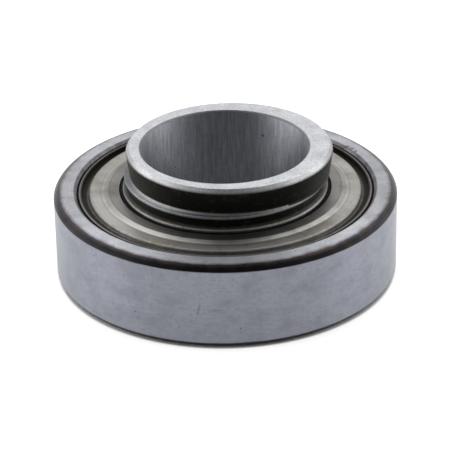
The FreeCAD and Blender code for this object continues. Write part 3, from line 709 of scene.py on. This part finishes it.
def makeInnerRing():
    # One profile carried round the axis: the short end, the land, the race's arc, the neck, the ledge, the
    # cam and the bore. The cam's circles have their centre moved by its offset.
    size = innerRing
    low, top, shift = innerRingLow, innerRingTop, size["camOffset"]
    landTop, ledgeTop, neckHigh = size["landTop"], size["ledgeTop"], size["neckHigh"]
    boreEnd, camSide = boreRadius + size["boreChamfer"], top - size["camChamferAxial"]
    raceRadii, raceHeights = arcOfRace(size["race"] + size["raceGroove"], -size["raceGroove"],
                                       size["shoulder"], size["raceSteps"])
    corners = [
        (boreEnd, low, 0, 0), (boreEnd + size["faceRow"], low, 0, 0),
        (size["land"] - size["endChamfer"], low, 0.1, 0),
        (size["land"], low + size["endChamfer"], 0.1, 0), (size["land"], size["landDepth"], 0.1, 0),
        (size["shoulder"], size["landDepth"], 0.1, 0),
        *((radius, height, 0, 0) for radius, height in zip(raceRadii, raceHeights)),
        (size["shoulder"], ringWidth - size["landDepth"], 0.1, 0),
        (size["land"], ringWidth - size["landDepth"], 0.1, 0),
        (size["land"], landTop, 0.08, 0), (size["neck"], size["neckLow"], 0.15, 0),
        (size["neck"], neckHigh, 0.12, 0), (size["ledge"], neckHigh, 0.05, 0),
        (size["ledge"], ledgeTop - size["ledgeChamfer"], 0.08, 0),
        (size["ledge"] - size["ledgeChamfer"], ledgeTop, 0.05, 0),
        (size["cam"] - size["camUndercut"], ledgeTop, 0, shift),
        (size["cam"], camSide, 0.05, shift),
        (size["cam"] - size["camChamferRadial"], top, 0.12, shift),
        (boreEnd + size["faceRow"], top, 0, 0), (boreEnd, top, 0, 0),
        (boreRadius, top - size["boreChamfer"], 0.1, 0),
        (boreRadius, low + size["boreChamfer"], 0.1, 0),
    ]
    outline, offsets = outlineRows(corners, size["spacing"])
    spots = turned(outline, offsets, size["turns"], math.radians(size["camAngle"]))
    radius, height = outline[:, :1], outline[:, 1:]
    outside = smooth(radius, boreRadius + size["boreWall"][0], boreRadius + size["boreWall"][1])
    neck = smooth(height, landTop + size["neckFrom"][0], landTop + size["neckFrom"][1])
    neck = neck * (1 - smooth(height, neckHigh - size["neckTo"], neckHigh + size["neckTo"]))
    flank = smooth(height, ledgeTop + size["flankFrom"][0], ledgeTop + size["flankFrom"][1])
    flank = flank * (1 - smooth(height, camSide, camSide + size["flankTo"]))
    # painted shade, drawn as scale, on a band of the land beside the seal's gap
    band = smooth(height, *size["bandFrom"])
    band = band * (1 - smooth(height, landTop - size["bandTo"][0], landTop - size["bandTo"][1]))
    scale = outside * np.maximum(np.maximum(neck, flank), band)
    # painted shade: the ledge, the land, the cam's bevel and the bore's bevel are darkened, the same all
    # round
    tone = np.where((outside > 0) & (height < ledgeTop + 0.03), size["ledgeTone"], 1.0)
    tone = np.where((outside > 0) & (height < landTop + 0.3), size["landTone"], tone)
    tone = np.where(height < low + 0.01, 1.0, tone)
    bevel = (outside > 0) & (height > camSide - 0.02) & (height < top - 0.03)
    tone = np.where(bevel, size["bevelTone"], tone)
    boreBevel = (radius < boreEnd + 0.02) & (height > top - size["boreChamfer"] - 0.02)
    tone = np.where(boreBevel, size["boreBevelTone"], tone)
    middle = ((outline + np.roll(outline, -1, axis=0)) / 2)[:, 0]
    zones = np.where(middle < boreRadius + 0.05, 1, 0)
    piece = ringMesh("innerRing", spots, [camSteel, boreSteel], zones, {"scale": scale, "tone": tone})
    finishPiece(piece, "inner", "inner_ring_steel", "inner_ring")


# Seals

sealCap = {
    "foot": 27.15, "capLow": 14.45, "sheet": 0.45, "rim": 26.55, "rimInner": 25.9, "rimTop": 15.6,
    "rimRound": 0.2, "channelOuter": 25.8, "channelInner": 24.7, "step": 24.55, "stepRound": 0.3,
    "shieldTop": 15.6, "riseOuter": 21.9, "riseInner": 21.0, "innerTop": 15.95, "edge": 19.1,
    "turns": 512, "spacing": 0.5,
    # Painted shade and grime fill the channel from the step to the rim. They also cover the foot, all that
    # lies deep in the channel, and the sheet's hidden inner edge, and lie thinly on the edge beside the lip's
    # gap.
    "grimeFrom": (-0.45, 0.5), "grimeTo": (26.0, 26.35), "footGrime": 0.25, "deepGrime": (0.25, 0.1),
    "underGrime": (0.3, 0.2), "underTo": (0.1, 0.3), "edgeTo": (0.02, 0.12), "edgeGrime": 0.6,
    # the flat shield is paler than the raised inner part and the rim, which are darkened by painted shade
    "raisedTone": 0.6, "flatTone": 1.05, "flatTo": (25.9, 26.1),
}


def onSide(spots, side):
    # the lower seal is the upper one turned over about the X axis
    return spots * (1, -1, -1) + (0, 0, ringWidth) if side == "lower" else spots


def makeSealCap(side):
    # A sheet's profile carried round the axis: foot, rim, channel, step, shield and raised inner part on top,
    # and the same way back underneath, one sheet lower.
    size = sealCap
    floorTop, sheet, step, edge = size["capLow"] + size["sheet"], size["sheet"], size["step"], size["edge"]
    shieldLow, innerLow = size["shieldTop"] - sheet, size["innerTop"] - sheet
    corners = [
        (size["foot"], size["capLow"], 0.05, 0), (size["foot"], floorTop, 0.05, 0),
        (size["rim"], floorTop, 0.04, 0), (size["rim"], size["rimTop"], size["rimRound"], 0),
        (size["rimInner"], size["rimTop"], size["rimRound"], 0), (size["channelOuter"], floorTop, 0.15, 0),
        (size["channelInner"], floorTop, 0.12, 0), (step - 0.03, size["shieldTop"], 0.36, 0),
        (size["riseOuter"] + 0.1, size["shieldTop"], 0.8, 0),
        (size["riseInner"] + 0.15, size["innerTop"], 0.9, 0),
        (edge, size["innerTop"], 0.14, 0), (edge, innerLow, 0.12, 0),
        (size["riseInner"], innerLow, 0.6, 0), (size["riseOuter"], shieldLow, 0.6, 0),
        (step - size["stepRound"] - sheet / 2, shieldLow, 0.2, 0),
        (size["channelInner"] - sheet, size["capLow"], 0.2, 0),
    ]
    outline, offsets = outlineRows(corners, size["spacing"])
    spots = onSide(turned(outline, offsets, size["turns"]), side)
    radius, height = outline[:, :1], outline[:, 1:]
    # painted shade and grime: in the channel, on the foot, deep in the channel, under the sheet and at the
    # lip's gap
    channel = smooth(radius, step + size["grimeFrom"][0], step + size["grimeFrom"][1])
    channel = channel * (1 - smooth(radius, *size["grimeTo"]))
    foot = smooth(radius, size["rim"] - size["footGrime"], size["rim"])
    deep = 1 - smooth(height, size["rimTop"] - size["deepGrime"][0], size["rimTop"] - size["deepGrime"][1])
    deep = deep * (radius > step + size["grimeFrom"][1])
    underTop, underBare = size["underGrime"]
    under = 1 - smooth(height, size["innerTop"] - underTop, size["innerTop"] - underBare)
    under = under * (1 - smooth(radius, edge + size["underTo"][0], edge + size["underTo"][1]))
    besideLip = 1 - smooth(radius, edge + size["edgeTo"][0], edge + size["edgeTo"][1])
    dirt = np.max([channel, foot, deep, under, size["edgeGrime"] * besideLip], axis=0)
    # painted shade: the raised inner part beside the cam and the rim are darker than the flat
    flat = smooth(radius, size["riseInner"], size["riseOuter"]) * (1 - smooth(radius, *size["flatTo"]))
    tone = size["raisedTone"] + (size["flatTone"] - size["raisedTone"]) * flat
    layers = {"dirt": dirt, "tone": tone}
    piece = ringMesh(side + "SealCap", spots, [sealSheet], np.zeros(len(outline)), layers)
    finishPiece(piece, "outer", "seal_steel", side + "_seal_cap")


sealLip = {"edge": 19.1, "low": 14.45, "anchor": 23.55, "anchorTop": 15.1, "top": 15.8, "tip": 0.3,
           "run": 18.55, "gap": 0.05, "heel": 0.5, "turns": 384, "spacing": 0.8}


def makeSealLip(side):
    # A wedge's profile carried round the axis: anchored under the cap, it fills the gap at the cap's edge and
    # runs out to a thin tip at the inner ring.
    size = sealLip
    corners = [
        (size["edge"] + size["heel"], size["low"], 0.1, 0), (size["anchor"], size["low"], 0.05, 0),
        (size["anchor"], size["anchorTop"], 0.05, 0),
        (size["edge"] - size["gap"], size["anchorTop"], 0.04, 0),
        (size["edge"] - 3 * size["gap"], size["top"], 0.06, 0), (size["run"], size["top"], 0.06, 0),
        (size["run"], size["top"] - size["tip"], 0.06, 0),
    ]
    outline, offsets = outlineRows(corners, size["spacing"])
    spots = onSide(turned(outline, offsets, size["turns"]), side)
    piece = ringMesh(side + "SealLip", spots, [sealRubber], np.zeros(len(outline)), {})
    finishPiece(piece, "outer", "seal_rubber", side + "_seal_lip")


makeOuterRing()
makeInnerRing()
for side in ("upper", "lower"):
    makeSealCap(side)
    makeSealLip(side)
print("rings and seals are made")

# The CAD pieces that show only through a gap keep their shape and get their own finish. The first word here
# that a node's name holds decides.
innerFinishes = {"ball": ballSteel, "cage_rivets": rivetSteel, "cage": cageSteel, "washer": washerSteel,
                 "lip": sealRubber, "seal": sealSheet, "outer": outsideSteel, "inner": camSteel}
for name, node in frame["nodes"].items():
    finish = next(finish for word, finish in innerFinishes.items() if word in name)
    for at in range(len(node.data.materials)):
        node.data.materials[at] = finish
print("pieces inside have their finish")
